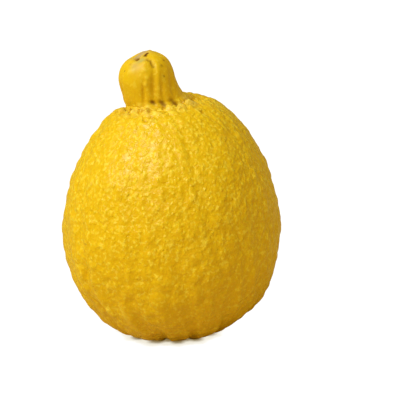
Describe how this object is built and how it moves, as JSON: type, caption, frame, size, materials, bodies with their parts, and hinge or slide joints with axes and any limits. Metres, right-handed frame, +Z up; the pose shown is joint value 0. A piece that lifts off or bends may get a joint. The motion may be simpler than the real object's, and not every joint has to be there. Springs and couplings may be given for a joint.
{
  "type": "whole citron",
  "caption": "Whole ripe yellow citron: a pebbled egg-shaped fruit standing on its ribbed stem end, with a blunt leaning nipple on its crown.",
  "frame": {"origin": "on the surface that the fruit stands on, under the middle of its body", "axes": "+Z up along the body's axis, from the stem end to the nipple; -Y is the side with the nipple's open pit; the nipple leans towards -X"},
  "size_m": [0.1128, 0.1109, 0.1455],
  "materials": {
    "rind": null
  },
  "bodies": {
    "root": {"citron": "rind"}
  },
  "joints": []
}
